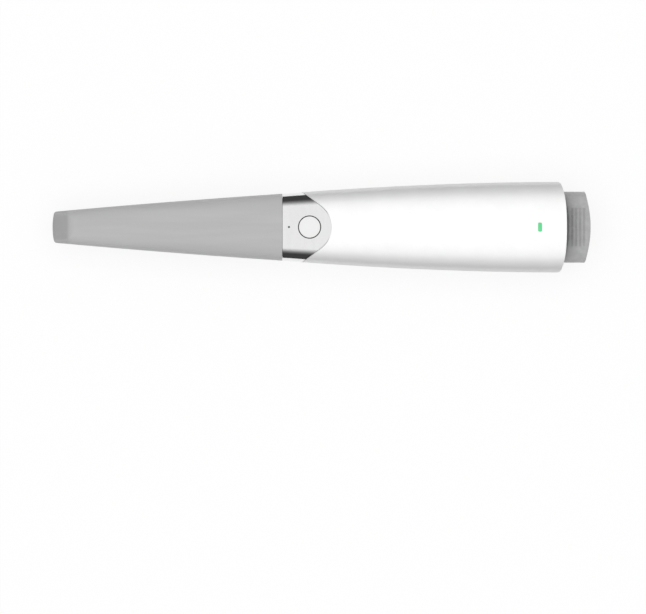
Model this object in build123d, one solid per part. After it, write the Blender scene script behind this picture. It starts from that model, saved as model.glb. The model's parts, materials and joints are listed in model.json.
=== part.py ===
from build123d import *
import math
import os

# Overall sizes in millimetres. X runs from the tip end to the battery, Z up from the table.
tip_length = 115.1
handle_length = 141.9
battery_reach = 12.0
seam_height = 21.4

# Outer form: half-widths and heights at the tip end, the joint plane and the rear.
end_half_width = 7.7
end_top = 28.5
end_bottom = 14.6
tip_bulge = 0.35
joint_half_width = 16.75
joint_top = 35.3
joint_bottom = 5.25
rear_half_width = 22.6
rear_top = 38.4
swell_power = 1.8
belly_run = 70.0
belly_power = 1.3
belly_sink = 0.7
upper_fullness = 0.77
lower_fullness = 0.68

# Tip end: sloped face, rounded nose, scan window.
end_slope = 46.3
end_slope_height = 9.35
end_round_top = 7.5
end_round_front = 5.7
end_round_foot = 1.7
end_corner_round = 1.8
end_bow = 1.0
end_edge_bevel = 0.9
end_plate = 1.2
window_start = 3.6
window_length = 11.8
window_width = 10.6
window_recess = 0.8

# Walls and clearances.
tip_wall = 1.6
slip_gap = 0.5
nose_wall = 1.6
cover_wall = 2.0
collar_wall = 3.2
seam_gap = 0.3
joint_gap = 0.15

# Collar tongue and its controls.
tongue_reach = 24.3
tongue_radius = 13.2
tongue_half_angle = 36.4
collar_slant = 13.8
collar_step = 4.6
button_offset = 13.5
button_diameter = 10.6
button_gap = 0.5
button_travel = 0.5
pin_light_offset = 3.2
pin_light_diameter = 1.0

# Rear end and battery.
rear_slant = 11.7
rear_flare = 30.0
battery_half_width = 17.75
battery_top = 29.05
battery_bottom = 2.9
battery_waist = 20.0
battery_slant = 13.6
battery_flare = 11.0
bezel_setback = 3.0
bezel_thickness = 2.0
bay_depth = 72.0
rib_pitch = 1.38
rib_count = 8
rib_depth = 0.35
rib_half_span = 9.5
top_rib_pitch = 2.0
top_rib_count = 4
top_rib_setback = 3.25
status_setback = 13.4

# Underside release lever.
recess_setback = 4.6
recess_length = 33.5
recess_half_width = 16.0
recess_depth = 2.95
lever_gap = 2.0
lever_thickness = 1.35

# Optics and boards.
lens_pitch = 8.8
projector_lens_diameter = 9.0
camera_lens_diameter = 7.0
bulkhead_offset = 21.0
bench_length = 45.0
bench_height = 13.5
sensor_reach = 11.4
heat_sink_reach = 17.0
board_half_width = 10.5
board_height = 30.6
board_thickness = 1.2

# Places along X. The handle holds the bulkhead, the optical bench and the battery bay in a row.
x_front = -(tip_length + handle_length + battery_reach) / 2
x_joint = x_front + tip_length
x_lip = x_joint + handle_length
x_back = x_lip + battery_reach
x_window = x_front + window_start
x_nose = x_front + 30.5
x_button = x_joint + button_offset
x_bench = x_joint + bulkhead_offset
x_heat_sink = x_bench + bench_length - heat_sink_reach
x_pillar = (x_bench + sensor_reach + x_heat_sink) / 2
x_bay = x_lip - bay_depth
x_recess = x_bay + recess_setback
x_antenna = x_lip - 26.0
x_pin = x_recess + lever_gap + 1.6
x_stem = x_recess + recess_length - 4.0


def ring(x, half, up, down, level, full_up, full_down):
    """Closed section at x: four Bezier quarters meeting at the widest line."""
    quarters = []
    for side_y, side_z, full in ((1, up, full_up), (-1, up, full_up), (-1, -down, full_down), (1, -down, full_down)):
        a = side_y * half
        h = side_z
        pole_wide = (x, a, level)
        pole_rise = (x, a, level + full * h)
        pole_lean = (x, full * a, level + h)
        pole_peak = (x, 0, level + h)
        poles = [pole_wide, pole_rise, pole_lean, pole_peak]
        if side_y * side_z < 0:
            poles.reverse()
        quarters.append(Bezier(*poles).edge())
    return Wire(quarters)


def tip_ring(x, inset):
    t = (x - x_front) / tip_length
    half = end_half_width + (joint_half_width - end_half_width) * t + 4 * tip_bulge * t * (1 - t)
    top = end_top + (joint_top - end_top) * t
    bottom = end_bottom + (joint_bottom - end_bottom) * t
    up = top - seam_height - inset
    down = seam_height - bottom - inset
    return ring(x, half - inset, up, down, seam_height, upper_fullness, lower_fullness)


def handle_size(x):
    t = max(0.0, (x_lip - 7.5 - x) / (handle_length - 7.5)) ** swell_power
    half = rear_half_width - (rear_half_width - joint_half_width) * t
    top = rear_top - (rear_top - joint_top) * t
    fall = max(0.0, 1 - (x - x_joint) / belly_run) ** belly_power
    bottom = (joint_bottom + belly_sink) * fall - belly_sink
    return half, top, bottom


def handle_ring(x, inset):
    half, top, bottom = handle_size(x)
    up = top - seam_height - inset
    down = seam_height - bottom - inset
    return ring(x, half - inset, up, down, seam_height, upper_fullness, lower_fullness)


def battery_ring(x, inset):
    up = battery_top - battery_waist - inset
    down = battery_waist - battery_bottom - inset
    return ring(x, battery_half_width - inset, up, down, battery_waist, 0.6, 0.69)


def tip_form(inset, x0, x1):
    return Solid.make_loft([tip_ring(x, inset) for x in (x0, (x0 + x1) / 2, x1)])


def handle_form(inset, x0, x1):
    count = max(3, round((x1 - x0) / 22) + 1)
    return Solid.make_loft([handle_ring(x0 + (x1 - x0) * i / (count - 1), inset) for i in range(count)])


def battery_form(inset, x0, x1):
    return extrude(Face(battery_ring(x0, inset)), amount=x1 - x0, dir=(1, 0, 0))


def side_zone(edges, reach=40):
    """Solid from an outline in the XZ plane, run along Y to both sides."""
    return extrude(Plane.XZ * make_face(edges), amount=reach, both=True)


def side_polygon(points, reach=40):
    return side_zone(Polyline(*points, close=True), reach)


def block(x0, x1, y0, y1, z0, z1):
    return Pos((x0 + x1) / 2, (y0 + y1) / 2, (z0 + z1) / 2) * Box(x1 - x0, y1 - y0, z1 - z0)


def post(x, y, z0, z1, diameter):
    return Pos(x, y, (z0 + z1) / 2) * Cylinder(diameter / 2, z1 - z0)


def barrel(x0, x1, y, z, diameter):
    return Pos((x0 + x1) / 2, y, z) * Rot(0, 90, 0) * Cylinder(diameter / 2, x1 - x0)


def plan_pad(x0, x1, half, radius, z0, z1):
    face = Pos((x0 + x1) / 2, 0) * RectangleRounded(x1 - x0, 2 * half, radius)
    return extrude(Plane.XY.offset(z0) * face, amount=z1 - z0)


def tip_bottom(x):
    return end_bottom + (joint_bottom - end_bottom) * (x - x_front) / tip_length


def end_zone(inset):
    """Everything behind the tip's end outline, drawn in side view and moved in by inset."""
    lean = math.radians(end_slope)
    slope = math.tan(lean)
    foot_x = x_front + inset
    corner_z = tip_bottom(x_front) + end_slope_height - 4.35
    shift = inset * math.tan((math.pi / 2 - lean) / 2)
    knee = (foot_x, corner_z - shift)
    rise = (joint_top - end_top) / tip_length
    lid = end_top + 0.03 - inset
    crown_x = (lid - knee[1] + slope * knee[0] - rise * x_front) / (slope - rise)
    crown = (crown_x, lid + rise * (crown_x - x_front))
    far = x_joint + 5
    foot = (foot_x, tip_bottom(x_front) - 0.2)
    points = [(far, lid + rise * (far - x_front)), crown, knee, foot, (far, tip_bottom(far) - 2)]
    rounds = [end_round_top - inset, end_round_front - inset, max(0.4, end_round_foot - inset)]
    lines = FilletPolyline(*points, radius=[0] + rounds + [0], close=True)
    return side_zone(lines)


def end_plan():
    """Plan outline that trims the tip end: bowed front, round corners, sides just outside the form."""
    lean = (joint_half_width - end_half_width + 4 * tip_bulge) / tip_length
    corner = end_half_width + 0.03 + lean * end_bow
    far = x_joint + 2
    wide = corner + lean * (far - x_front - end_bow)
    arc = ThreePointArc((x_front + end_bow, -corner), (x_front, 0), (x_front + end_bow, corner))
    back = Polyline((x_front + end_bow, corner), (far, wide), (far, -wide), (x_front + end_bow, -corner))
    face = make_face([arc, back])
    face = fillet(face.vertices().sort_by(Axis.X)[:2], radius=end_corner_round)
    return extrude(face, amount=60)


def end_bevel(side, turn):
    """Plane cut that eases one side edge of the sloped end face: turn is 0 on the slope and 90 on the side."""
    lean = math.radians(end_slope)
    over = math.cos(math.radians(turn))
    out = math.sin(math.radians(turn))
    normal = (-math.sin(lean) * over, side * out, math.cos(lean) * over)
    level = tip_bottom(x_front) + end_slope_height
    reach = end_edge_bevel * (over + out - 1) / (2 - math.sqrt(2))
    edge = Vector(x_front + 4.1, side * (end_half_width + 0.2), level)
    start = edge - Vector(*normal).normalized() * reach
    return Plane(origin=start, z_dir=normal) * Pos(0, 0, 10) * Box(40, 40, 20)


def front_zone(shift):
    """Everything in front of the collar's rear edge: slanted sides and a round tongue on top."""
    lean = math.radians(tongue_half_angle)
    apex = x_joint + tongue_reach + shift
    virtual = apex - tongue_radius + tongue_radius / math.sin(lean)
    far = x_joint - 10
    spread = (virtual - far) * math.tan(lean)
    plan = make_face(Polyline((far, -spread), (virtual, 0), (far, spread), close=True))
    plan = fillet(plan.vertices().sort_by(Axis.X)[-1:], radius=tongue_radius)
    level = seam_height + collar_step
    tongue = extrude(Plane.XY.offset(level) * plan, amount=30)
    root = virtual - 1.032 * joint_half_width / math.tan(lean)
    low = root - (level + 5) * math.tan(math.radians(collar_slant))
    sides = side_polygon([(far, -5), (low, -5), (root, level), (far, level)])
    return tongue + sides


def slanted_zone(edge_x, edge_z, slant_deg, radius, flare_height, x_far):
    """Everything in front of a slanted rear face that flares out towards its upper edge."""
    slant = math.radians(slant_deg)
    start_z = edge_z - flare_height
    turn = math.asin(math.sin(slant) + flare_height / radius)
    start_x = edge_x - radius * (math.cos(slant) - math.cos(turn))
    end_turn = turn + 0.08
    centre_x = start_x + radius * math.cos(slant)
    centre_z = start_z - radius * math.sin(slant)
    mid_turn = (slant + end_turn) / 2
    mid = (centre_x - radius * math.cos(mid_turn), centre_z + radius * math.sin(mid_turn))
    end = (centre_x - radius * math.cos(end_turn), centre_z + radius * math.sin(end_turn))
    foot = (start_x - (start_z + 5) * math.tan(slant), -5)
    arc = ThreePointArc((start_x, start_z), mid, end)
    back = Polyline(end, (x_far, end[1]), (x_far, -5), foot, (start_x, start_z))
    return side_zone([arc, back])


def rear_zone(shift):
    return slanted_zone(x_lip + shift, rear_top, rear_slant, rear_flare, 7.4, x_joint - 15)


outer = handle_form(0, x_joint, x_lip + 6)
hollow = handle_form(cover_wall, x_joint - 1, x_lip + 7)
shell = outer - hollow
end_inner = end_zone(end_plate)
x_crown = x_front + 12.5


def whole_tip():
    """Solid tip with its sloped end, trimmed in plan and eased along the slope's sides."""
    body = tip_form(0, x_front - 1, x_joint - joint_gap) & end_zone(0) & end_plan()
    for side in (-1, 1):
        for turn in (22.5, 45.0, 67.5):
            body = body - end_bevel(side, turn)
    return body


tip_outer = whole_tip()

mirror_foot = (x_window + 0.4, tip_bottom(x_window) + 1.9)
mirror_top = (mirror_foot[0] + 16, mirror_foot[1] + 16)


def behind_mirror(gap):
    """Space above and in front of the 45 degree mirror plane, moved off it by gap."""
    off = gap * math.sqrt(2)
    low = (mirror_foot[0] - off - 6, mirror_foot[1] - 6)
    high = (mirror_top[0] - off, mirror_top[1])
    return side_polygon([low, high, (x_front - 3, mirror_top[1]), (x_front - 3, mirror_foot[1] - 6)])


def make_tip_sleeve():
    keep = end_inner + block(x_crown, x_joint, -30, 30, 0, 50)
    body = (tip_outer & keep) - tip_form(tip_wall, x_front - 2, x_joint + 1)
    x1 = x_window + window_length
    notch = side_polygon([
        (x_window, tip_bottom(x_window) + window_recess),
        (x1, tip_bottom(x1) + window_recess),
        (x1, 0),
        (x_window, 0),
    ])
    hole = plan_pad(x_window + 0.9, x1 - 0.9, window_width / 2, 1.5, 0, seam_height)
    body = body - notch - hole
    groove_x = x_joint - 9.0
    level = tip_bottom(groove_x) + tip_wall
    groove = block(groove_x - 4.4, groove_x + 4.4, -3.4, 3.4, level - 0.75, level + 2)
    return body - groove


def make_tip_end_cover():
    plate = (tip_outer - end_inner) & block(x_front - 2, x_crown, -30, 30, 0, 50)
    room = tip_form(tip_wall + 0.15, x_front - 2, x_front + 40) & end_zone(end_plate - 0.3)
    fill = room & behind_mirror(1.05)
    ribs = [fill & block(x_front, x_front + 30, y - 0.5, y + 0.5, 0, 50) for y in (-4.0, 0.0, 4.0)]
    for rib in ribs:
        plate = plate + rib
    return plate


def make_tip_mirror():
    room = tip_form(tip_wall + 0.15, x_front - 2, x_front + 40) & end_zone(end_plate + 0.15)
    return (room & behind_mirror(0)) - behind_mirror(1.0)


def make_nose_barrel():
    slip = tip_wall + slip_gap
    body = tip_form(slip, x_nose, x_joint) + handle_form(collar_wall + 0.2, x_joint - 1, x_bench)
    bore = tip_form(slip + nose_wall, x_nose - 1, x_joint)
    bore = bore + handle_form(collar_wall + 0.2 + nose_wall, x_joint - 0.5, x_bench + 1)
    rebate = tip_form(slip + 0.8, x_nose - 1, x_nose + 1.3)
    body = body - bore - rebate
    deck = block(x_joint + 1.9, x_bench + 1, -8.2, 8.2, seam_height + 4, 50)
    spring_x = x_joint - 9.0
    pocket = block(spring_x - 6.5, spring_x + 6.5, -3.2, 3.2, 0, tip_bottom(spring_x) + slip + 1.0)
    return body - deck - pocket


def make_nose_window():
    return tip_form(tip_wall + slip_gap + 0.85, x_nose + 0.1, x_nose + 1.3)


def make_nose_seal():
    outside = handle_form(cover_wall, x_joint, x_joint + 1.3)
    return outside - handle_form(collar_wall + 0.2, x_joint - 1, x_joint + 2)


def make_tip_detent():
    """Leaf spring bowed down into the tip's groove, held by its two ends in the nose pocket."""
    mid_x = x_joint - 9.0
    seat = tip_bottom(mid_x) + tip_wall + slip_gap + 1.0
    dip = tip_bottom(mid_x) + tip_wall - 0.2
    upper = ThreePointArc((mid_x - 6, seat), (mid_x, dip + 0.3), (mid_x + 6, seat))
    lower = ThreePointArc((mid_x + 6, seat - 0.3), (mid_x, dip), (mid_x - 6, seat - 0.3))
    ends = [Line((mid_x + 6, seat), (mid_x + 6, seat - 0.3)), Line((mid_x - 6, seat - 0.3), (mid_x - 6, seat))]
    return side_zone([upper, ends[0], lower, ends[1]], 2.8)


def button_level():
    half, top, bottom = handle_size(x_button)
    return top - 2.2


def switch_foot():
    return button_level() - 3.2 - button_travel


def make_collar():
    body = (outer & front_zone(0)) + (handle_form(cover_wall + 0.15, x_joint + 1.3, x_joint + 45) & front_zone(4.0))
    body = body - handle_form(collar_wall, x_joint + 1.3, x_joint + 50)
    body = body - handle_form(cover_wall, x_joint - 1, x_joint + 1.3)
    body = body - post(x_button, 0, seam_height, 60, button_diameter + 2 * button_gap)
    body = body - post(x_button, 0, seam_height, button_level(), button_diameter + 3.2)
    return body - post(x_joint + pin_light_offset, 0, seam_height, 60, pin_light_diameter + 0.1)


def make_scan_button():
    level = button_level()
    half, top, bottom = handle_size(x_button)
    cap = post(x_button, 0, level - 0.9, top + 3, button_diameter) & outer
    dish = Pos(x_button, 0, top + 44.7) * Sphere(45)
    flange = post(x_button, 0, level - 0.9, level - 0.1, button_diameter + 2.2)
    stem = post(x_button, 0, level - 1.5, level - 0.9, 4.0)
    return (cap - dish) + flange + stem


def make_switch_plunger():
    level = button_level() - 1.5
    return post(x_button, 0, level - 1.2, level, 2.0)


def make_button_switch():
    level = button_level() - 1.5
    body = block(x_button - 3, x_button + 3, -3, 3, switch_foot(), level - 0.6)
    return body - post(x_button, 0, level - 1.3 - button_travel, level, 2.1)


def make_button_board():
    level = switch_foot()
    return block(x_joint + 2.2, x_bench - 2.0, -6.5, 6.5, level - 0.8, level)


def make_front_light():
    x = x_joint + pin_light_offset
    level = switch_foot()
    rod = post(x, 0, level, 60, pin_light_diameter) & outer
    return rod + post(x, 0, level, level + 0.8, 2.0)


def make_upper_cover():
    body = shell & block(x_joint - 5, x_back, -40, 40, seam_height, 60)
    body = (body - front_zone(seam_gap)) & rear_zone(0)
    x = x_lip - status_setback
    slot = plan_pad(x - 1.0, x + 1.0, 2.25, 0.6, seam_height, 60)
    body = body - slot
    rim = handle_form(cover_wall - 0.3, x_joint + 20, x_lip) - handle_form(cover_wall + 1.4, x_joint + 18, x_lip + 2)
    room = handle_form(cover_wall + 0.15, x_joint + 20, x_lip)
    for x in (x_bench + 12, x_bay - 6, x_lip - 36):
        for y in (-30, 30):
            band = block(x - 4, x + 4, min(0, y), max(0, y), seam_height, seam_height + 3) & rim
            tab = block(x - 4, x + 4, min(0, y), max(0, y), seam_height - 3, seam_height + 1) & rim & room
            body = body + band + tab
    return body


def make_lower_cover():
    body = shell & block(x_joint - 5, x_back, -40, 40, 0, seam_height)
    body = (body - front_zone(seam_gap)) & rear_zone(0)
    edge = block(x_joint - 5, x_back, -40, 40, seam_height - 0.3, seam_height + 1)
    body = body - (edge - handle_form(0.5, x_joint - 2, x_lip + 7))
    x0 = x_recess
    x1 = x_recess + recess_length
    span = (x0 - 25, x1 + 25)
    roof = belly_sink + recess_depth
    tub = handle_form(0.3, *span) - handle_form(roof + 1.0, span[0] - 1, span[1] + 1)
    tub = tub & plan_pad(x0 - 1.2, x1 + 1.2, recess_half_width + 1.2, 3.2, 0, seam_height - 6)
    opening = handle_form(-1.5, *span) - handle_form(roof, span[0] - 1, span[1] + 1)
    opening = opening & plan_pad(x0, x1, recess_half_width, 2.0, -3, seam_height - 4)
    body = body + tub - opening
    for y in (-7.75, 7.75):
        ear = block(x_pin - 1.5, x_pin + 1.5, y - 0.75, y + 0.75, 0.6, recess_depth + 1.15)
        body = body + ear
    body = body - Pos(x_pin, 0, 1.6) * Rot(90, 0, 0) * Cylinder(0.6, 18.0)
    body = body - post(x_stem, 0, 1, 8, 4.4)
    inside = handle_form(cover_wall - 0.6, x_joint + 18, x_lip - 4)
    for x, y in boss_places():
        boss = post(x, y, 0.5, bench_height - 2.0, 5.0) & inside
        body = body + (boss - post(x, y, bench_height - 7.0, bench_height, 1.7))
    for y in (-11.0, 11.0):
        boss = post(x_bay - 3.4, y, 0.5, 8.4, 5.0) & inside
        body = body + (boss - post(x_bay - 3.4, y, 4.6, 9, 1.7))
    return body


def boss_places():
    front = x_bench + 5.0
    back = x_bench + bench_length - 5.0
    return [(front, -11.0), (front, 11.0), (back, -11.0), (back, 11.0)]


def make_rear_bezel():
    plate = handle_form(cover_wall + 0.05, x_lip - 40, x_lip + 6)
    plate = (plate & rear_zone(-bezel_setback)) - rear_zone(-bezel_setback - bezel_thickness)
    return plate - battery_form(2.7, x_lip - 40, x_back)


def make_status_light():
    x = x_lip - status_setback
    level = board_height + board_thickness + 0.7
    lens = plan_pad(x - 0.9, x + 0.9, 2.15, 0.55, level, 60) & outer
    return lens + plan_pad(x - 1.6, x + 1.6, 2.9, 0.6, level, level + 1.2)


def make_chassis():
    wall = handle_form(collar_wall + 0.2, x_bench, x_bench + 2.0)
    body = wall + block(x_bench, x_bench + bench_length, -14, 14, bench_height - 2.0, bench_height)
    shelf_z = switch_foot() - 0.8
    body = body + block(x_joint + 3.0, x_bench + 1, -6.0, 6.0, shelf_z - 1.2, shelf_z)
    for y in (-lens_pitch, 0, lens_pitch):
        size = projector_lens_diameter if y == 0 else camera_lens_diameter
        body = body - barrel(x_bench - 2, x_bench + 4, y, seam_height, size + 0.1)
    for y in (-9.6, 9.6):
        body = body + post(x_pillar, y, bench_height - 1, board_height, 4.0)
    for x, y in boss_places():
        body = body - post(x, y, bench_height - 3, bench_height + 1, 2.2)
    return body


def make_projector_lens():
    x1 = x_bench + 10.0
    body = barrel(x_bench - 9, x1, 0, seam_height, projector_lens_diameter)
    body = body + barrel(x_bench - 9, x_bench - 4, 0, seam_height, projector_lens_diameter + 1.0)
    dome = Pos(x_bench - 8.6 + 10.0, 0, seam_height) * Sphere(10.0)
    return body - (barrel(x_bench - 10, x_bench - 8, 0, seam_height, projector_lens_diameter - 1.4) - dome)


def make_camera_lens(side):
    y = side * lens_pitch
    x1 = x_bench + sensor_reach - 2.4
    body = barrel(x_bench - 7, x1, y, seam_height, camera_lens_diameter)
    dome = Pos(x_bench - 6.6 + 8.0, y, seam_height) * Sphere(8.0)
    return body - (barrel(x_bench - 8, x_bench - 6, y, seam_height, camera_lens_diameter - 1.2) - dome)


def make_camera_board(side):
    y0 = side * 5.7
    y1 = side * 12.7
    x0 = x_bench + sensor_reach - 2.4
    body = block(x0, x0 + 1.2, min(y0, y1), max(y0, y1), bench_height, seam_height + 6.5)
    y = side * lens_pitch
    return body + block(x0 + 1.2, x0 + 2.4, y - 2.5, y + 2.5, seam_height - 2.5, seam_height + 2.5)


def make_projector_module():
    x0 = x_bench + 10.0
    body = block(x0, x_heat_sink, -5.4, 5.4, bench_height, seam_height + 6.6)
    body = fillet(body.edges().filter_by(Axis.X), 1.0)
    return body + block(x0 + 3, x_heat_sink - 3, -3.5, 3.5, seam_height + 6.6, seam_height + 7.6)


def make_heat_sink():
    x0 = x_heat_sink
    body = block(x0, x0 + 2.4, -8.0, 8.0, bench_height, seam_height + 6.6)
    for i in range(7):
        y = -7.4 + i * 14.8 / 6
        body = body + block(x0 + 2, x0 + 12, y - 0.6, y + 0.6, bench_height, seam_height + 6.6)
    return body


def screw_places():
    places = [(x, y, bench_height) for x, y in boss_places()]
    places += [(x_bay - 3.4, -11.0, 10.2), (x_bay - 3.4, 11.0, 10.2)]
    top = board_height + board_thickness
    places += [(x_pillar, -9.6, top), (x_pillar, 9.6, top)]
    return places


def make_frame_screws():
    screws = []
    for x, y, z in screw_places():
        head = post(x, y, z, z + 1.2, 3.4) - Pos(x, y, z + 0.8) * Box(2.6, 0.5, 0.9)
        depth = 5.0 if z < board_height else 0.9
        screws.append(head + post(x, y, z - depth, z, 1.5))
    return Compound(children=screws)


def make_main_board():
    top = board_height + board_thickness
    x0 = x_bench + 9.4
    x1 = x_lip - 10.0
    body = block(x0, x1, -board_half_width, board_half_width, board_height, top)
    front_chips = [(x0 + 12, -4, 5, 5), (x0 + 30, 9.3, 3, 1.6)]
    rear_chips = [(x_antenna - 19.5, 4, 6, 4), (x_antenna - 11.5, -4.5, 4, 6), (x_antenna - 3.5, 3, 3, 3)]
    for x, y, length, width in front_chips + rear_chips:
        body = body + block(x, x + length, y - width / 2, y + width / 2, top - 0.2, top + 0.8)
    x = x_lip - status_setback
    body = body + block(x - 0.6, x + 0.6, -1.2, 1.2, top - 0.2, top + 0.7)
    for y in (-9.6, 9.6):
        body = body - post(x_pillar, y, board_height - 1, top + 1, 1.7)
    return body


def make_shield_can():
    top = board_height + board_thickness
    x0 = x_bench + 32
    can = block(x0, x0 + 26, -8, 8, top, top + 2.0)
    can = fillet(can.edges().filter_by(Axis.Z), 1.0)
    return can - block(x0 + 0.3, x0 + 25.7, -7.7, 7.7, top - 1, top + 1.7)


def make_antenna():
    top = board_height + board_thickness
    x0 = x_antenna
    body = block(x0, x0 + 6, -8, 8, top, top + 0.6)
    for y in (-5.2, -1.2, 2.8):
        body = body - block(x0 + 1.2, x0 + 7, y, y + 2.2, top + 0.25, top + 1)
    return body


def make_battery_bay():
    front = rear_zone(-bezel_setback - bezel_thickness)
    body = battery_form(1.6, x_bay, x_back) - battery_form(2.7, x_bay + 1.3, x_back + 1)
    body = body & front
    body = body - block(x_bay - 1, x_bay + 2, -10.4, 10.4, 15.4, 20.8)
    stop = x_stem + 2.9
    body = body - block(stop - 8.5, stop, -4.0, 4.0, 3, battery_bottom + 4)
    x = (x_pin + x_stem) / 2
    body = body + block(x - 2, x + 2, -2.2, 2.2, recess_depth + 1.15, battery_bottom + 2.0)
    x = x_lip - 16
    body = body + block(x - 2, x + 2, -2.2, 2.2, cover_wall - belly_sink + 0.15, battery_bottom + 2.0)
    for y in (-11.0, 11.0):
        ear = block(x_bay - 6.4, x_bay + 0.6, y - 3.0, y + 3.0, 8.4, 10.2)
        body = body + (ear - post(x_bay - 3.4, y, 8, 11, 2.2))
    for x in (x_bay + 14, x_lip - 22):
        for y in (-6.0, 6.0):
            body = body + post(x, y, battery_top - 3.4, board_height, 4.0)
    return body - battery_form(2.7, x_bay + 1.3, x_back)


def make_contact_block():
    body = block(x_bay - 5.0, x_bay, -9.0, 9.0, 14.6, 21.6)
    body = body + block(x_bay - 0.1, x_bay + 1.0, -9.0, 9.0, 15.6, 20.6)
    for i in range(4):
        y = -6.0 + 4.0 * i
        body = body - barrel(x_bay - 6, x_bay + 2, y, 18.1, 1.9)
    return body


def make_contact_pins():
    pins = []
    for i in range(4):
        y = -6.0 + 4.0 * i
        pins.append(barrel(x_bay - 6.0, x_bay + 0.6, y, 18.1, 1.8) + barrel(x_bay + 0.5, x_bay + 1.7, y, 18.1, 1.0))
    return Compound(children=pins)


def grip_zone():
    rear = slanted_zone(x_back, battery_top, battery_slant, battery_flare, 4.3, x_joint)
    return rear - rear_zone(-bezel_setback + 0.2)


def make_battery_grip():
    body = battery_form(0, x_lip - 30, x_back + 5) & grip_zone()
    body = body - battery_form(3.0, x_lip - 30, x_lip + 2.0)
    skin = battery_form(-1.0, x_lip - 30, x_back + 5) - battery_form(rib_depth, x_lip - 31, x_back + 6)
    grooves = []
    for i in range(top_rib_count):
        x = x_back - top_rib_setback - i * top_rib_pitch
        grooves.append(block(x - 0.45, x + 0.45, -rib_half_span, rib_half_span, battery_waist, battery_top + 1))
    for i in range(rib_count):
        x = x_lip + 2.0 - i * rib_pitch
        low = battery_bottom - 1
        grooves.append(block(x - 0.35, x + 0.35, -rib_half_span, rib_half_span, low, battery_waist))
    for groove in grooves:
        body = body - (skin & groove)
    return body


def make_battery_case():
    x0 = x_bay + 1.8
    body = battery_form(3.0, x0, x_lip + 2.0) - battery_form(4.2, x0 + 1.3, x_lip + 0.6)
    body = body - block(x0 - 1, x0 + 2, -8.6, 8.6, 15.6, 20.6)
    floor = battery_bottom + 3.0
    stop = x_stem + 2.9
    tunnel = block(stop - 22.0, stop + 2.4, -4.6, 4.6, floor + 0.6, floor + 3.2)
    pocket = block(stop - 20.8, stop + 1.2, -3.4, 3.4, floor - 2, floor + 2.1)
    lug = block(stop - 20.8, stop - 17.4, -3.4, 3.4, floor + 0.7, floor + 2.2)
    return body + tunnel - pocket + lug


def make_battery_latch():
    """Leaf spring with a hook that drops into the bay's floor window."""
    floor = battery_bottom + 3.0
    stop = x_stem + 2.9
    leaf = block(stop - 20.7, stop - 0.2, -3.0, 3.0, floor + 0.3, floor + 0.7)
    hook = side_polygon([
        (stop - 0.2, floor + 0.7),
        (stop - 0.2, floor - 1.0),
        (stop - 1.6, floor - 1.0),
        (stop - 2.6, floor + 0.3),
    ], 2.6)
    return leaf + hook


def make_battery_cell():
    floor = battery_bottom + 3.0 + 3.3
    cell = block(x_bay + 7.0, x_lip - 1.0, -10.0, 10.0, floor, floor + 13.0)
    return fillet(cell.edges().filter_by(Axis.X), 2.5)


def make_battery_board():
    x0 = x_bay + 3.1
    body = block(x0, x0 + 1.0, -9.5, 9.5, 12.5, 22.5)
    for i in range(4):
        y = -6.0 + 4.0 * i
        body = body + block(x0 - 1.3, x0 + 0.1, y - 1.4, y + 1.4, 16.4, 19.8)
    return body


def make_battery_release():
    x0 = x_recess + lever_gap
    x1 = x_recess + recess_length - 0.25
    span = (x0 - 25, x1 + 25)
    body = handle_form(0.1, *span) - handle_form(belly_sink + lever_thickness, span[0] - 1, span[1] + 1)
    body = body & plan_pad(x0, x1, recess_half_width - 0.25, 1.8, -3, seam_height - 4)
    body = body & block(x0 - 1, x1 + 1, -30, 30, 0.15, 20)
    knuckle = Pos(x_pin, 0, 1.6) * Rot(90, 0, 0) * Cylinder(1.25, 13.4)
    body = body + knuckle
    body = body + post(x_stem, 0, 1.0, battery_bottom + 1.75, 3.2)
    for y in (-7.75, 7.75):
        body = body - block(x_pin - 2.0, x_pin + 2.0, y - 1.05, y + 1.05, -1, 5)
    return body - Pos(x_pin, 0, 1.6) * Rot(90, 0, 0) * Cylinder(0.66, 14.0)


def make_release_pin():
    return Pos(x_pin, 0, 1.6) * Rot(90, 0, 0) * Cylinder(0.6, 17.0)


def make_release_spring():
    """Bowed leaf between the lever and the recess roof."""
    mid = (x_pin + x_stem) / 2
    low = lever_thickness + 0.06
    high = recess_depth
    upper = ThreePointArc((mid - 6, low + 0.3), (mid, high), (mid + 6, low + 0.3))
    lower = ThreePointArc((mid + 6, low), (mid, high - 0.3), (mid - 6, low))
    ends = [Line((mid + 6, low + 0.3), (mid + 6, low)), Line((mid - 6, low), (mid - 6, low + 0.3))]
    return side_zone([upper, ends[0], lower, ends[1]], 2.0)


parts = {
    "tip_sleeve": make_tip_sleeve,
    "tip_end_cover": make_tip_end_cover,
    "tip_mirror": make_tip_mirror,
    "nose_barrel": make_nose_barrel,
    "nose_window": make_nose_window,
    "nose_seal": make_nose_seal,
    "tip_detent": make_tip_detent,
    "collar": make_collar,
    "scan_button": make_scan_button,
    "switch_plunger": make_switch_plunger,
    "button_switch": make_button_switch,
    "button_board": make_button_board,
    "front_light": make_front_light,
    "upper_cover": make_upper_cover,
    "lower_cover": make_lower_cover,
    "rear_bezel": make_rear_bezel,
    "status_light": make_status_light,
    "chassis": make_chassis,
    "projector_module": make_projector_module,
    "projector_lens": make_projector_lens,
    "left_camera_lens": lambda: make_camera_lens(1),
    "right_camera_lens": lambda: make_camera_lens(-1),
    "left_camera_board": lambda: make_camera_board(1),
    "right_camera_board": lambda: make_camera_board(-1),
    "heat_sink": make_heat_sink,
    "frame_screws": make_frame_screws,
    "main_board": make_main_board,
    "shield_can": make_shield_can,
    "antenna": make_antenna,
    "battery_bay": make_battery_bay,
    "contact_block": make_contact_block,
    "contact_pins": make_contact_pins,
    "battery_grip": make_battery_grip,
    "battery_case": make_battery_case,
    "battery_latch": make_battery_latch,
    "battery_cell": make_battery_cell,
    "battery_board": make_battery_board,
    "battery_release": make_battery_release,
    "release_pin": make_release_pin,
    "release_spring": make_release_spring,
}

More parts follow.
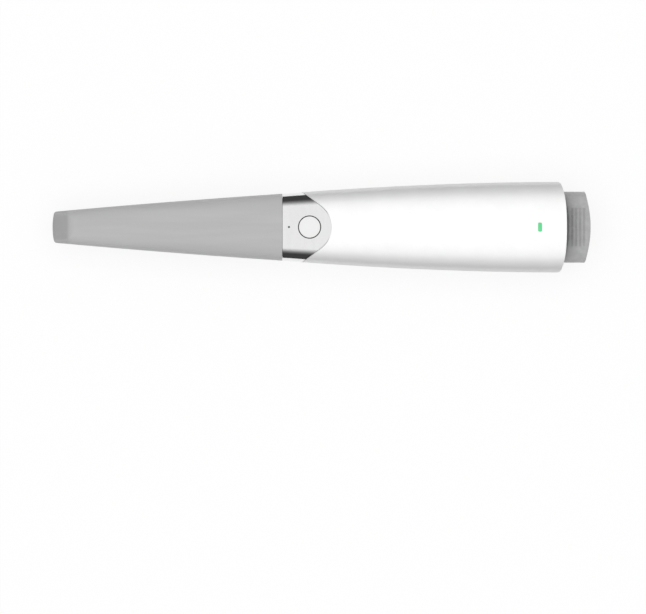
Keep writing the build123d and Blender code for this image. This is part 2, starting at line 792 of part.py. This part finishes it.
os.makedirs("parts", exist_ok=True)
for name, make in parts.items():
    export_step(make(), "parts/" + name + ".step")
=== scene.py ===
"""Cordless intraoral scanner lying on a pale studio floor, seen from straight above."""
import json
import math

import bpy
import numpy as np
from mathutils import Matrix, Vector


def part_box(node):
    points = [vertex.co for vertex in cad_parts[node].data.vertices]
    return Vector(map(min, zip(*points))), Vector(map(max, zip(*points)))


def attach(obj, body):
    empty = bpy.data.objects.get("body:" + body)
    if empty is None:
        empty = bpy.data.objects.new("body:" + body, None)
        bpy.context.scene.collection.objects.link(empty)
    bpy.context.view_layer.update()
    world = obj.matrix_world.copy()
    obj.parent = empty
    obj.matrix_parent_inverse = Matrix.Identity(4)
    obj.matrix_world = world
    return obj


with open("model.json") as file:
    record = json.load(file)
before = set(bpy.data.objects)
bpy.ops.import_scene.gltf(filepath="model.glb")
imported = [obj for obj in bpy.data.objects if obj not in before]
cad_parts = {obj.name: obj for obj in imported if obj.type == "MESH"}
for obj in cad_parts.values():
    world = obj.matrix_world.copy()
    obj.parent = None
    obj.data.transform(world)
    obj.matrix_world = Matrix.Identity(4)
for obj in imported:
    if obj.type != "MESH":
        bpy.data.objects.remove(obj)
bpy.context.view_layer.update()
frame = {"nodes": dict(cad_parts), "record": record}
nodes = frame["nodes"]
slot_of = {part["node"]: part["material_slot"] for part in frame["record"]["subparts"]}


# Node helpers: every finish reads Object coordinates in metres. Noise seldom leaves the span from
# grain_low to grain_high, and a mottled finish reaches its two tones a little inside it.

grain_low = 0.3
grain_high = 0.7
dark_stop = 0.35
light_stop = 0.65


def new_finish(name):
    """Material with a bare Principled shader."""
    material = bpy.data.materials.new(name)
    material.use_nodes = True
    tree = material.node_tree
    return material, tree, tree.nodes["Principled BSDF"]


def place_on(tree):
    """Object coordinates."""
    return tree.nodes.new("ShaderNodeTexCoord").outputs["Object"]


def axes_of(tree):
    """Object coordinates, one socket for each axis."""
    axes = tree.nodes.new("ShaderNodeSeparateXYZ")
    tree.links.new(place_on(tree), axes.inputs["Vector"])
    return axes.outputs


def grain(tree, scale, stretch=(1.0, 1.0, 1.0), detail=3.0):
    """Noise with about `scale` features per metre; stretch multiplies them along each axis."""
    mapping = tree.nodes.new("ShaderNodeMapping")
    mapping.inputs["Scale"].default_value = stretch
    noise = tree.nodes.new("ShaderNodeTexNoise")
    noise.inputs["Scale"].default_value = scale
    noise.inputs["Detail"].default_value = detail
    tree.links.new(place_on(tree), mapping.inputs["Vector"])
    tree.links.new(mapping.outputs["Vector"], noise.inputs["Vector"])
    return noise.outputs["Fac"]


def measure(tree, operation, first, second=0.0):
    """One arithmetic step on a socket and a number, or on two sockets."""
    step = tree.nodes.new("ShaderNodeMath")
    step.operation = operation
    tree.links.new(first, step.inputs[0])
    if isinstance(second, (int, float)):
        step.inputs[1].default_value = second
    else:
        tree.links.new(second, step.inputs[1])
    return step.outputs["Value"]


def chain(tree, operation, first, *others):
    """One operation carried on from a first socket over other sockets or numbers."""
    result = first
    for other in others:
        result = measure(tree, operation, result, other)
    return result


def spread(tree, value, begin, end, low=0.0, high=1.0, shape="LINEAR"):
    """From low, where value is begin, to high, where it is end, and level beyond; begin may be the larger."""
    span = tree.nodes.new("ShaderNodeMapRange")
    span.interpolation_type = shape
    span.inputs["From Min"].default_value = begin
    span.inputs["From Max"].default_value = end
    span.inputs["To Min"].default_value = low
    span.inputs["To Max"].default_value = high
    tree.links.new(value, span.inputs["Value"])
    return span.outputs["Result"]


def ease(tree, value, begin, end, low=0.0, high=1.0):
    """As spread, in a smooth step."""
    return spread(tree, value, begin, end, low, high, "SMOOTHSTEP")


def near(colour, share):
    """The colour, darkened by share and lightened by share."""
    shade = np.array(colour)
    return tuple(shade * (1 - share)), tuple(np.minimum(shade * (1 + share), 1.0))


def tones(tree, shader, value, *stops):
    """Base colour that runs through (position, colour) stops as value rises."""
    ramp = tree.nodes.new("ShaderNodeValToRGB")
    marks = ramp.color_ramp.elements
    while len(marks) < len(stops):
        marks.new(0.5)
    for mark, (position, colour) in zip(marks, stops):
        mark.position = position
        mark.color = (*colour, 1.0)
    tree.links.new(value, ramp.inputs["Fac"])
    tree.links.new(ramp.outputs["Color"], shader.inputs["Base Color"])


def mottle(tree, shader, value, dark, light):
    """Base colour that drifts between two tones, following a grain."""
    tones(tree, shader, value, (dark_stop, dark), (light_stop, light))


def gloss(tree, shader, value, low, high):
    """Roughness between low and high, following a grain."""
    tree.links.new(spread(tree, value, grain_low, grain_high, low, high), shader.inputs["Roughness"])


def relief(tree, shader, value, strength, depth):
    """Bump of the given depth in metres, following value."""
    bump = tree.nodes.new("ShaderNodeBump")
    bump.inputs["Strength"].default_value = strength
    bump.inputs["Distance"].default_value = depth
    tree.links.new(value, bump.inputs["Height"])
    tree.links.new(bump.outputs["Normal"], shader.inputs["Normal"])


# Finishes, one for each material slot of the part, and three more for single pieces.

def flow_streaks(tree):
    """Faint streaks along the tip, from the plastic's flow in the mould."""
    return grain(tree, 260, (0.06, 1, 1))


def tip_plastic(tree, shader, haze):
    """What the tip's mouldings share: a dry surface, a fine grain and a dusty sheen as broad as haze."""
    gloss(tree, shader, grain(tree, 900), 0.55, 0.68)
    relief(tree, shader, grain(tree, 5200, detail=2), 0.12, 0.00004)
    shader.inputs["Specular IOR Level"].default_value = 0.25
    shader.inputs["Sheen Weight"].default_value = 0.6
    shader.inputs["Sheen Roughness"].default_value = haze


def autoclave_grey():
    """Matt grey tip plastic with faint flow streaks along its length."""
    material, tree, shader = new_finish("autoclave_grey")
    mottle(tree, shader, flow_streaks(tree), *near((0.46, 0.46, 0.46), 0.03))
    tip_plastic(tree, shader, 0.66)
    return material


def end_cover_grey():
    """The tip's grey on its end cover, with painted shade: darker in the middle of the sloping face, up to
    the crease, where the face turns away from the lamp overhead; the crown and flanks keep the lighter tones."""
    material, tree, shader = new_finish("end_cover_grey")
    low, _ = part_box("tip_end_cover")
    crease_begin = low.x + 0.0070
    crease_end = low.x + 0.0086
    face_half_width = 0.0050
    flank_half_width = 0.0078
    rim_weight = 0.7
    streak_weight = 0.3
    axes = axes_of(tree)
    behind_crease = ease(tree, axes["X"], crease_begin, crease_end)
    beside = ease(tree, measure(tree, "ABSOLUTE", axes["Y"]), face_half_width, flank_half_width)
    rim = measure(tree, "MULTIPLY", measure(tree, "MAXIMUM", behind_crease, beside), rim_weight)
    streaks = measure(tree, "MULTIPLY", flow_streaks(tree), streak_weight)
    # Painted shade: the middle of the sloping face takes the two darker tones, the crown and flanks the
    # lighter ones.
    painted_shade_dark, painted_shade_light = near((0.415, 0.415, 0.415), 0.02)
    rim_dark, rim_light = near((0.48, 0.48, 0.48), 0.02)
    tones(
        tree, shader, measure(tree, "ADD", rim, streaks),
        (0.10, painted_shade_dark), (0.20, painted_shade_light), (0.80, rim_dark), (0.90, rim_light),
    )
    tip_plastic(tree, shader, 0.45)
    return material


def pearl_white():
    """White pearl lacquer: satin, a little metallic, with the finest orange-peel."""
    material, tree, shader = new_finish("pearl_white")
    mottle(tree, shader, grain(tree, 120), *near((0.925, 0.925, 0.925), 0.012))
    gloss(tree, shader, grain(tree, 700), 0.36, 0.44)
    relief(tree, shader, grain(tree, 1600, detail=2), 0.05, 0.00004)
    shader.inputs["Metallic"].default_value = 0.24
    shader.inputs["Specular IOR Level"].default_value = 0.35
    return material


def polished_collar():
    """Bright plated metal with hairline polish marks round the collar."""
    material, tree, shader = new_finish("polished_collar")
    mottle(tree, shader, grain(tree, 300, (1, 0.2, 0.2)), *near((0.80, 0.80, 0.805), 0.015))
    gloss(tree, shader, grain(tree, 1500, (1, 0.1, 0.1)), 0.07, 0.11)
    relief(tree, shader, grain(tree, 6000, (1, 0.05, 0.05), 2), 0.015, 0.00001)
    shader.inputs["Metallic"].default_value = 1.0
    return material


def grip_grooves(tree, axes, width):
    """1 in the four grooves across the battery's top and 0 elsewhere: within half a groove of the last
    one's middle, or of a whole number of pitches before it, near the middle line and near the top."""
    _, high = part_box("battery_grip")
    count = 4
    pitch = 0.002
    half_groove = 0.00055
    half_length = 0.0095
    last = high.x - 0.00325
    deepest = high.z - 0.00205
    off_centre = measure(tree, "PINGPONG", measure(tree, "SUBTRACT", axes["X"], last), pitch / 2)
    return chain(
        tree, "MULTIPLY",
        measure(tree, "LESS_THAN", off_centre, half_groove),
        measure(tree, "GREATER_THAN", axes["X"], last - (count - 0.5) * pitch),
        measure(tree, "LESS_THAN", axes["X"], last + 0.5 * pitch),
        measure(tree, "LESS_THAN", width, half_length),
        measure(tree, "GREATER_THAN", axes["Z"], deepest),
    )


def battery_grip_grey():
    """Mid-grey textured grip plastic of the battery, with painted shade on its top: darker towards the lip of
    the cover, most along the middle, with a painted shadow line in the gap by the lip, and a little darker in
    the four grooves; away from the lip the top is painted lighter than the sides. The lip bows: it lies back
    by lip_bow times the square of the distance from the middle line. Each fade gives the place where a tone
    begins and where it is full."""
    material, tree, shader = new_finish("battery_grip_grey")
    _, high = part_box("battery_grip")
    _, cover_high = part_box("upper_cover")
    lip_bow = 4.6
    lip_fade = (0.0105, -0.0050)
    lip_gap_shadow_fade = (0.0018, 0.0006)
    middle_fade = (0.0135, 0.0060)
    top_fade = (high.z - 0.0060, high.z - 0.0020)
    lip_shade = 0.18
    lip_shade_more_in_middle = 0.32
    lip_gap_shadow_shade = 0.25
    groove_shade = 0.10
    middle_shade = 0.06
    painted_light_on_top = 0.10
    speckle_share = 0.3
    speckle_base = 0.35

    axes = axes_of(tree)
    width = measure(tree, "ABSOLUTE", axes["Y"])
    past_end = measure(tree, "SUBTRACT", axes["X"], cover_high.x)
    past_lip = measure(tree, "ADD", past_end, chain(tree, "MULTIPLY", width, width, lip_bow))
    by_lip = ease(tree, past_lip, *lip_fade)
    lip_gap_shadow = ease(tree, past_lip, *lip_gap_shadow_fade)
    middle = ease(tree, width, *middle_fade)
    upper = ease(tree, axes["Z"], *top_fade)
    lip_depth = measure(tree, "ADD", measure(tree, "MULTIPLY", middle, lip_shade_more_in_middle), lip_shade)
    # Painted shade on the top: darker towards the lip and most along the middle, a painted shadow line in the
    # gap by the lip, painted shade in the grooves, and painted light lifting the rest of the top.
    shade = chain(
        tree, "ADD",
        measure(tree, "MULTIPLY", by_lip, lip_depth),
        measure(tree, "MULTIPLY", lip_gap_shadow, lip_gap_shadow_shade),
        measure(tree, "MULTIPLY", grip_grooves(tree, axes, width), groove_shade),
        measure(tree, "MULTIPLY", middle, middle_shade),
        -painted_light_on_top,
    )
    speckle = measure(tree, "MULTIPLY", grain(tree, 420), speckle_share)
    plain = measure(tree, "ADD", speckle, speckle_base)
    tones(
        tree, shader, measure(tree, "SUBTRACT", plain, measure(tree, "MULTIPLY", shade, upper)),
        (0.0, (0.07, 0.07, 0.071)), (0.2, (0.224, 0.224, 0.227)),
        (0.5, (0.35, 0.35, 0.355)), (0.7, (0.45, 0.45, 0.456)),
    )
    gloss(tree, shader, grain(tree, 1100), 0.48, 0.6)
    relief(tree, shader, grain(tree, 3800, detail=2), 0.18, 0.00005)
    shader.inputs["Specular IOR Level"].default_value = 0.35
    shader.inputs["Sheen Weight"].default_value = 0.8
    shader.inputs["Sheen Roughness"].default_value = 0.7
    return material


def inner_black():
    """Matt black moulding of the nose and the battery bay."""
    material, tree, shader = new_finish("inner_black")
    mottle(tree, shader, grain(tree, 500), (0.030, 0.030, 0.032), (0.048, 0.048, 0.050))
    gloss(tree, shader, grain(tree, 900), 0.5, 0.65)
    relief(tree, shader, grain(tree, 4200, detail=2), 0.2, 0.00005)
    return material


def silvered_mirror():
    """First-surface mirror with a trace of wipe marks."""
    material, tree, shader = new_finish("silvered_mirror")
    mottle(tree, shader, grain(tree, 180), (0.88, 0.89, 0.90), (0.92, 0.93, 0.94))
    gloss(tree, shader, grain(tree, 600, (1, 0.15, 1)), 0.015, 0.05)
    relief(tree, shader, grain(tree, 900), 0.01, 0.00001)
    shader.inputs["Metallic"].default_value = 1.0
    return material


def coated_glass():
    """Clear coated glass of the window and the lenses."""
    material, tree, shader = new_finish("coated_glass")
    mottle(tree, shader, grain(tree, 200), (0.90, 0.95, 0.98), (0.96, 0.97, 1.0))
    gloss(tree, shader, grain(tree, 500), 0.01, 0.04)
    relief(tree, shader, grain(tree, 800), 0.01, 0.00001)
    shader.inputs["Transmission Weight"].default_value = 1.0
    shader.inputs["IOR"].default_value = 1.5
    return material


def seal_black():
    """Soft black rubber with a dry, dusty surface."""
    material, tree, shader = new_finish("seal_black")
    mottle(tree, shader, grain(tree, 800), (0.022, 0.022, 0.022), (0.05, 0.05, 0.05))
    gloss(tree, shader, grain(tree, 1300), 0.7, 0.85)
    relief(tree, shader, grain(tree, 5000, detail=2), 0.3, 0.00006)
    return material


def rolled_spring_steel():
    """Spring strip with the grain of its rolling along X."""
    material, tree, shader = new_finish("rolled_spring_steel")
    mottle(tree, shader, grain(tree, 1800, (0.04, 1, 1)), (0.50, 0.50, 0.51), (0.66, 0.66, 0.67))
    gloss(tree, shader, grain(tree, 2400, (0.05, 1, 1)), 0.2, 0.36)
    relief(tree, shader, grain(tree, 4000, (0.03, 1, 1), 2), 0.1, 0.00002)
    shader.inputs["Metallic"].default_value = 1.0
    return material


def machined_bench():
    """Bead-blasted aluminium of the optical bench, heat sink and screws."""
    material, tree, shader = new_finish("machined_bench")
    mottle(tree, shader, grain(tree, 700), (0.62, 0.62, 0.63), (0.76, 0.76, 0.77))
    gloss(tree, shader, grain(tree, 1500), 0.32, 0.46)
    relief(tree, shader, grain(tree, 5200, detail=2), 0.2, 0.00003)
    shader.inputs["Metallic"].default_value = 1.0
    return material


def anodised_black():
    """Black anodised lens barrel with fine turning marks."""
    material, tree, shader = new_finish("anodised_black")
    mottle(tree, shader, grain(tree, 2600, (1, 0.05, 0.05)), (0.014, 0.014, 0.016), (0.03, 0.03, 0.034))
    gloss(tree, shader, grain(tree, 3200, (1, 0.05, 0.05)), 0.28, 0.42)
    relief(tree, shader, grain(tree, 6000, (1, 0.03, 0.03), 2), 0.12, 0.00002)
    shader.inputs["Metallic"].default_value = 0.6
    return material


def circuit_green():
    """Solder mask over copper: broad paler cells stand for the poured planes, and the thin dark lines between
    them for the tracks."""
    material, tree, shader = new_finish("circuit_green")
    cells = tree.nodes.new("ShaderNodeTexVoronoi")
    cells.distance = "MANHATTAN"
    cells.feature = "F1"
    cells.inputs["Scale"].default_value = 420.0
    tree.links.new(place_on(tree), cells.inputs["Vector"])
    tones(
        tree, shader, cells.outputs["Distance"],
        (0.15, (0.012, 0.13, 0.05)), (0.5, (0.02, 0.20, 0.08)), (0.62, (0.008, 0.08, 0.03)),
    )
    gloss(tree, shader, grain(tree, 900), 0.3, 0.45)
    relief(tree, shader, cells.outputs["Distance"], 0.25, 0.00004)
    return material


def gold_flash():
    """Gold-plated brass of the antenna, pins and pads."""
    material, tree, shader = new_finish("gold_flash")
    mottle(tree, shader, grain(tree, 900), (0.78, 0.54, 0.20), (0.90, 0.66, 0.28))
    gloss(tree, shader, grain(tree, 1800), 0.16, 0.28)
    relief(tree, shader, grain(tree, 5000, detail=2), 0.1, 0.00002)
    shader.inputs["Metallic"].default_value = 1.0
    return material


def shrink_wrap_blue():
    """Blue film shrunk over the battery cell, with soft wrinkles across it."""
    material, tree, shader = new_finish("shrink_wrap_blue")
    mottle(tree, shader, grain(tree, 200), (0.03, 0.09, 0.22), (0.045, 0.13, 0.30))
    gloss(tree, shader, grain(tree, 600), 0.22, 0.36)
    relief(tree, shader, grain(tree, 260, (1, 0.3, 0.3)), 0.25, 0.0002)
    return material


def light_pipe(name, dark, light):
    """Moulded light pipe, drifting between two greens."""
    material, tree, shader = new_finish(name)
    mottle(tree, shader, grain(tree, 900), dark, light)
    gloss(tree, shader, grain(tree, 1400), 0.28, 0.4)
    relief(tree, shader, grain(tree, 4200, detail=2), 0.1, 0.00003)
    return material, shader


def glow_green():
    """Milky green light pipe, lit from behind."""
    material, shader = light_pipe("glow_green", (0.08, 0.50, 0.20), (0.10, 0.58, 0.25))
    shader.inputs["Emission Color"].default_value = (0.07, 0.75, 0.26, 1.0)
    shader.inputs["Emission Strength"].default_value = 0.2
    return material


def unlit_green():
    """Light pipe of the front pin lamp, not lit: a dark grey-green."""
    material, _ = light_pipe("unlit_green", (0.05, 0.09, 0.075), (0.08, 0.13, 0.11))
    return material


def button_pearl():
    """White cap of the scan button. Its hidden flange is painted near black, as painted shade in the ring
    gap:
    the tone follows the distance from the button's axis, and changes at the cap's rim, half way to
    full_reach."""
    material, tree, shader = new_finish("button_pearl")
    low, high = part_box("scan_button")
    full_reach = 0.0106
    centre = tree.nodes.new("ShaderNodeMapping")
    centre.inputs["Location"].default_value = (-(low.x + high.x) / 2, 0.0, 0.0)
    centre.inputs["Scale"].default_value = (1.0, 1.0, 0.0)
    reach = tree.nodes.new("ShaderNodeVectorMath")
    reach.operation = "LENGTH"
    tree.links.new(place_on(tree), centre.inputs["Vector"])
    tree.links.new(centre.outputs["Vector"], reach.inputs[0])
    # Painted shade: past the cap's rim the flange is near black, so the ring gap round the button looks dark.
    tones(
        tree, shader, spread(tree, reach.outputs["Value"], 0.0, full_reach),
        (0.0, (0.84, 0.84, 0.84)), (0.495, (0.82, 0.82, 0.82)), (0.503, (0.02, 0.02, 0.02)),
    )
    gloss(tree, shader, grain(tree, 900), 0.32, 0.42)
    relief(tree, shader, grain(tree, 2400, detail=2), 0.06, 0.00003)
    return material


finishes = {
    "tip_grey": autoclave_grey(),
    "mirror_face": silvered_mirror(),
    "polished_metal": polished_collar(),
    "white_shell": pearl_white(),
    "battery_grey": battery_grip_grey(),
    "dark_plastic": inner_black(),
    "clear_glass": coated_glass(),
    "seal_rubber": seal_black(),
    "spring_steel": rolled_spring_steel(),
    "bench_metal": machined_bench(),
    "lens_black": anodised_black(),
    "board_green": circuit_green(),
    "antenna_gold": gold_flash(),
    "cell_wrap": shrink_wrap_blue(),
    "light_green": glow_green(),
}

own_finish = {
    "tip_end_cover": end_cover_grey(),
    "scan_button": button_pearl(),
    "front_light": unlit_green(),
}
for node, piece in nodes.items():
    finish = own_finish.get(node, finishes[slot_of[node]])
    for holder in piece.material_slots:
        holder.material = finish


# New pieces: closed surfaces on a grid of two parameters.

def add_piece(name, points, faces, slot, body):
    """Mesh from an array of points and a list of faces, smooth, at the origin, riding on a body."""
    mesh = bpy.data.meshes.new(name)
    mesh.from_pydata(points.tolist(), [], faces)
    mesh.polygons.foreach_set("use_smooth", np.ones(len(mesh.polygons), dtype=bool))
    mesh.materials.append(finishes[slot])
    piece = bpy.data.objects.new(name, mesh)
    bpy.context.scene.collection.objects.link(piece)
    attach(piece, body)


def closed_faces(rings, around, shells=1):
    """Faces of shells with a first pole, rings of points and a last pole: fans at the poles, quads between
    rings."""
    per_shell = rings * around + 2
    step = np.arange(around)
    turn = (step + 1) % around
    first = np.stack([np.zeros_like(step), 1 + turn, 1 + step], axis=1)
    row = 1 + np.arange(rings - 1)[:, None] * around
    after = row + around
    quads = np.stack([row + step, row + turn, after + turn, after + step], axis=2).reshape(-1, 4)
    end = 1 + (rings - 1) * around
    last = np.stack([end + step, end + turn, np.full_like(step, per_shell - 1)], axis=1)
    offset = (np.arange(shells) * per_shell)[:, None, None]
    fans = (np.concatenate([first, last])[None] + offset).reshape(-1, 3)
    walls = (quads[None] + offset).reshape(-1, 4)
    return fans.tolist() + walls.tolist()


def lens_glass(name, node, radius, bulge):
    """Front element, sunk in the barrel's mouth: at ring share u and angle v the point lies radius times
    sin(u pi/2) off the lens axis, and stands forward of the seat by bulge times (1 - sin squared). A flat
    back closes it."""
    low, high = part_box(node)
    rings = 10
    around = 48
    sunk = 0.0009
    seat = low.x + sunk
    centre_y = (low.y + high.y) / 2
    centre_z = (low.z + high.z) / 2
    share = np.arange(1, rings + 1) / rings
    off_axis = radius * np.sin(share * math.pi / 2)
    forward = bulge * (1 - (off_axis / radius) ** 2)
    angle = np.arange(around) * 2 * math.pi / around
    x = np.repeat(seat - forward, around)
    y = centre_y + np.outer(off_axis, np.cos(angle)).ravel()
    z = centre_z + np.outer(off_axis, np.sin(angle)).ravel()
    front = np.array([[seat - bulge, centre_y, centre_z]])
    back = np.array([[seat, centre_y, centre_z]])
    points = np.vstack([front, np.stack([x, y, z], axis=1), back])
    add_piece(name, points, closed_faces(rings, around), "clear_glass", "handle")


def contact_pads(name, node, count, pitch, half_width, half_height, proud, middle_z):
    """Gold pads in a row: each is a rounded square outline |cos|^4 + |sin|^4 = r^-4, drawn in towards its
    middle by the ring share, with a flat face that falls away at the rim."""
    low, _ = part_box(node)
    around = 40
    angle = np.arange(around) * 2 * math.pi / around
    outline = (np.abs(np.cos(angle)) ** 4 + np.abs(np.sin(angle)) ** 4) ** -0.25
    share = np.array([0.55, 0.9, 0.97, 1.0, 1.0, 0.6])
    forward = proud * np.array([1.0, 1.0, 0.8, 0.4, 0.0, 0.0])
    rim_y = half_width * np.outer(share, outline * np.cos(angle))
    rim_z = half_height * np.outer(share, outline * np.sin(angle))
    ring_x = np.broadcast_to((low.x - forward)[:, None], rim_y.shape)
    ring = np.stack([ring_x, rim_y, middle_z + rim_z], axis=2).reshape(-1, 3)
    front = np.array([[low.x - proud, 0, middle_z]])
    back = np.array([[low.x, 0, middle_z]])
    one = np.vstack([front, ring, back])
    place_y = (np.arange(count) - (count - 1) / 2) * pitch
    shift = np.stack([np.zeros(count), place_y, np.zeros(count)], axis=1)
    points = (one[None] + shift[:, None]).reshape(-1, 3)
    add_piece(name, points, closed_faces(len(share), around, count), "antenna_gold", "battery")


lens_glass("projector_glass", "projector_lens", radius=0.00375, bulge=0.0007)
lens_glass("left_camera_glass", "left_camera_lens", radius=0.00285, bulge=0.0007)
lens_glass("right_camera_glass", "right_camera_lens", radius=0.00285, bulge=0.0007)
contact_pads(
    "battery_contact_pads", "battery_board", count=4, pitch=0.004, half_width=0.00125, half_height=0.0015,
    proud=0.00004, middle_z=0.0181,
)


# Stage: floor, two dark cards for the metal to reflect, a soft box overhead and a white surround.

def seen_directly(tree):
    """1 for camera, glossy and transmission rays, 0 for diffuse light."""
    rays = tree.nodes.new("ShaderNodeLightPath").outputs
    return chain(tree, "MAXIMUM", rays["Is Camera Ray"], rays["Is Glossy Ray"], rays["Is Transmission Ray"])


def pick_colour(tree, factor, hidden, shown):
    """Grey that is hidden where factor is 0 and shown where it is 1."""
    mix = tree.nodes.new("ShaderNodeMix")
    mix.data_type = "RGBA"
    colours = [socket for socket in mix.inputs if socket.type == "RGBA"]
    colours[0].default_value = (hidden, hidden, hidden, 1.0)
    colours[1].default_value = (shown, shown, shown, 1.0)
    tree.links.new(factor, mix.inputs["Factor"])
    return [socket for socket in mix.outputs if socket.type == "RGBA"][0]


def stage_sheet(name, corner, along, across, material):
    """Flat sheet: corner plus u times along plus v times across, u and v from 0 to 1 on a square grid."""
    grid = 9
    share = np.linspace(0, 1, grid)
    u, v = np.meshgrid(share, share, indexing="ij")
    points = np.array(corner) + u[..., None] * np.array(along) + v[..., None] * np.array(across)
    row = np.arange(grid - 1)[:, None] * grid
    step = np.arange(grid - 1)
    start = row + step
    faces = np.stack([start, start + grid, start + grid + 1, start + 1], axis=2).reshape(-1, 4)
    mesh = bpy.data.meshes.new(name)
    mesh.from_pydata(points.reshape(-1, 3).tolist(), [], faces.tolist())
    mesh.materials.append(material)
    sheet = bpy.data.objects.new(name, mesh)
    bpy.context.scene.collection.objects.link(sheet)
    return sheet


def floor_paper():
    """Pale matt paper, part lit and part glowing white to the eye and in reflections, so its shadow stays
    faint."""
    material, tree, shader = new_finish("floor_paper")
    glow_share = 0.85
    direct = seen_directly(tree)
    tree.links.new(pick_colour(tree, direct, hidden=0.36, shown=0.98), shader.inputs["Base Color"])
    shader.inputs["Roughness"].default_value = 0.9
    shader.inputs["Specular IOR Level"].default_value = 0.0
    glow = tree.nodes.new("ShaderNodeEmission")
    blend = tree.nodes.new("ShaderNodeMixShader")
    tree.links.new(measure(tree, "MULTIPLY", direct, glow_share), blend.inputs["Fac"])
    tree.links.new(shader.outputs["BSDF"], blend.inputs[1])
    tree.links.new(glow.outputs["Emission"], blend.inputs[2])
    tree.links.new(blend.outputs["Shader"], tree.nodes["Material Output"].inputs["Surface"])
    return material


def card_black():
    """Reflector card, dark along its foot and fading upwards to white."""
    material, tree, shader = new_finish("card_black")
    tree.nodes.remove(shader)
    dark_to = 0.04
    white_from = 0.121
    darkest = 0.055
    glow = tree.nodes.new("ShaderNodeEmission")
    glow.inputs["Color"].default_value = (1.0, 1.0, 1.0, 1.0)
    tree.links.new(ease(tree, axes_of(tree)["Z"], dark_to, white_from, darkest), glow.inputs["Strength"])
    tree.links.new(glow.outputs["Emission"], tree.nodes["Material Output"].inputs["Surface"])
    return material


floor_side = 12.0
floor_drop = 0.00005
floor_corner = (-floor_side / 2, -floor_side / 2, -floor_drop)
stage_sheet("floor", floor_corner, (floor_side, 0, 0), (0, floor_side, 0), floor_paper())

card_length = 1.0
card_height = 1.201
card_lean = 0.28
card_offset = 0.054
card_foot = 0.002
black = card_black()
for side, name in ((1, "card_left"), (-1, "card_right")):
    corner = (-card_length / 2, side * card_offset, card_foot)
    card = stage_sheet(name, corner, (card_length, 0, 0), (0, side * card_lean, card_height), black)
    card.visible_camera = False
    card.visible_diffuse = False
    card.visible_shadow = False
    card.visible_transmission = False

soft_box = bpy.data.lights.new("soft_box", "AREA")
soft_box.shape = "SQUARE"
soft_box.size = 1.6
soft_box.energy = 14.5
lamp = bpy.data.objects.new("soft_box", soft_box)
lamp.location = (0.0, 0.0, 1.5)
lamp.visible_camera = False
lamp.visible_glossy = False
bpy.context.scene.collection.objects.link(lamp)

world = bpy.data.worlds.new("surround")
world.use_nodes = True
bpy.context.scene.world = world
air = world.node_tree
sky = air.nodes["Background"]
air.links.new(pick_colour(air, seen_directly(air), hidden=0.52, shown=1.0), sky.inputs["Color"])
sky.inputs["Strength"].default_value = 1.0

# Camera: straight down with a long lens; 646 pixels span 323 mm at the object's widest line.
widest = 0.0214
height = 8.0
view_width = 0.323
view_centre = (0.0008, -0.0399)
sensor = 36.0
lens = bpy.data.cameras.new("camera")
lens.sensor_width = sensor
lens.lens = sensor * height / view_width
lens.clip_end = 50.0
camera = bpy.data.objects.new("camera", lens)
camera.location = (*view_centre, widest + height)
bpy.context.scene.collection.objects.link(camera)
bpy.context.scene.camera = camera
bpy.context.scene.view_settings.view_transform = "Standard"
